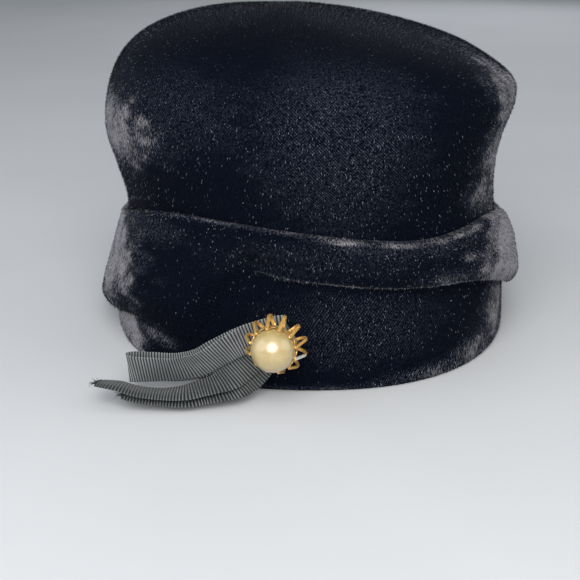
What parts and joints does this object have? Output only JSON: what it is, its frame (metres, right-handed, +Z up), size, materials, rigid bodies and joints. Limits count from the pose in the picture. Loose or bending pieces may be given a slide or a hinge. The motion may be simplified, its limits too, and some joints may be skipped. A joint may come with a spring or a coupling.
{
  "type": "velvet toque hat with ribbon bow and pearl button",
  "caption": "Tall soft velvet toque with a draped band swept up at the front and a ribbon bow under a pearl button, hollow for a head and resting on its rim.",
  "frame": {"origin": "on the surface that the rim rests on, under the middle of the whole hat's bounding box", "axes": "+Z up, -Y towards the front of the hat, where the bow is, and +X towards the right of the hat as seen from the front"},
  "size_m": [0.2014, 0.235, 0.1434],
  "materials": {
    "velvet": "black velvet with a navy cast and a pale sheen along its pile",
    "grosgrain": "charcoal ribbed ribbon",
    "gilt": "worn gilt wire",
    "pearl": "creamy gold pearl coat"
  },
  "bodies": {
    "root": {"crown": "velvet", "lower_band": "velvet", "drape": "velvet", "ribbon_loop": "grosgrain", "ribbon_tail_long": "grosgrain", "ribbon_tail_short": "grosgrain", "button_setting": "gilt", "pearl": "pearl"}
  },
  "joints": []
}
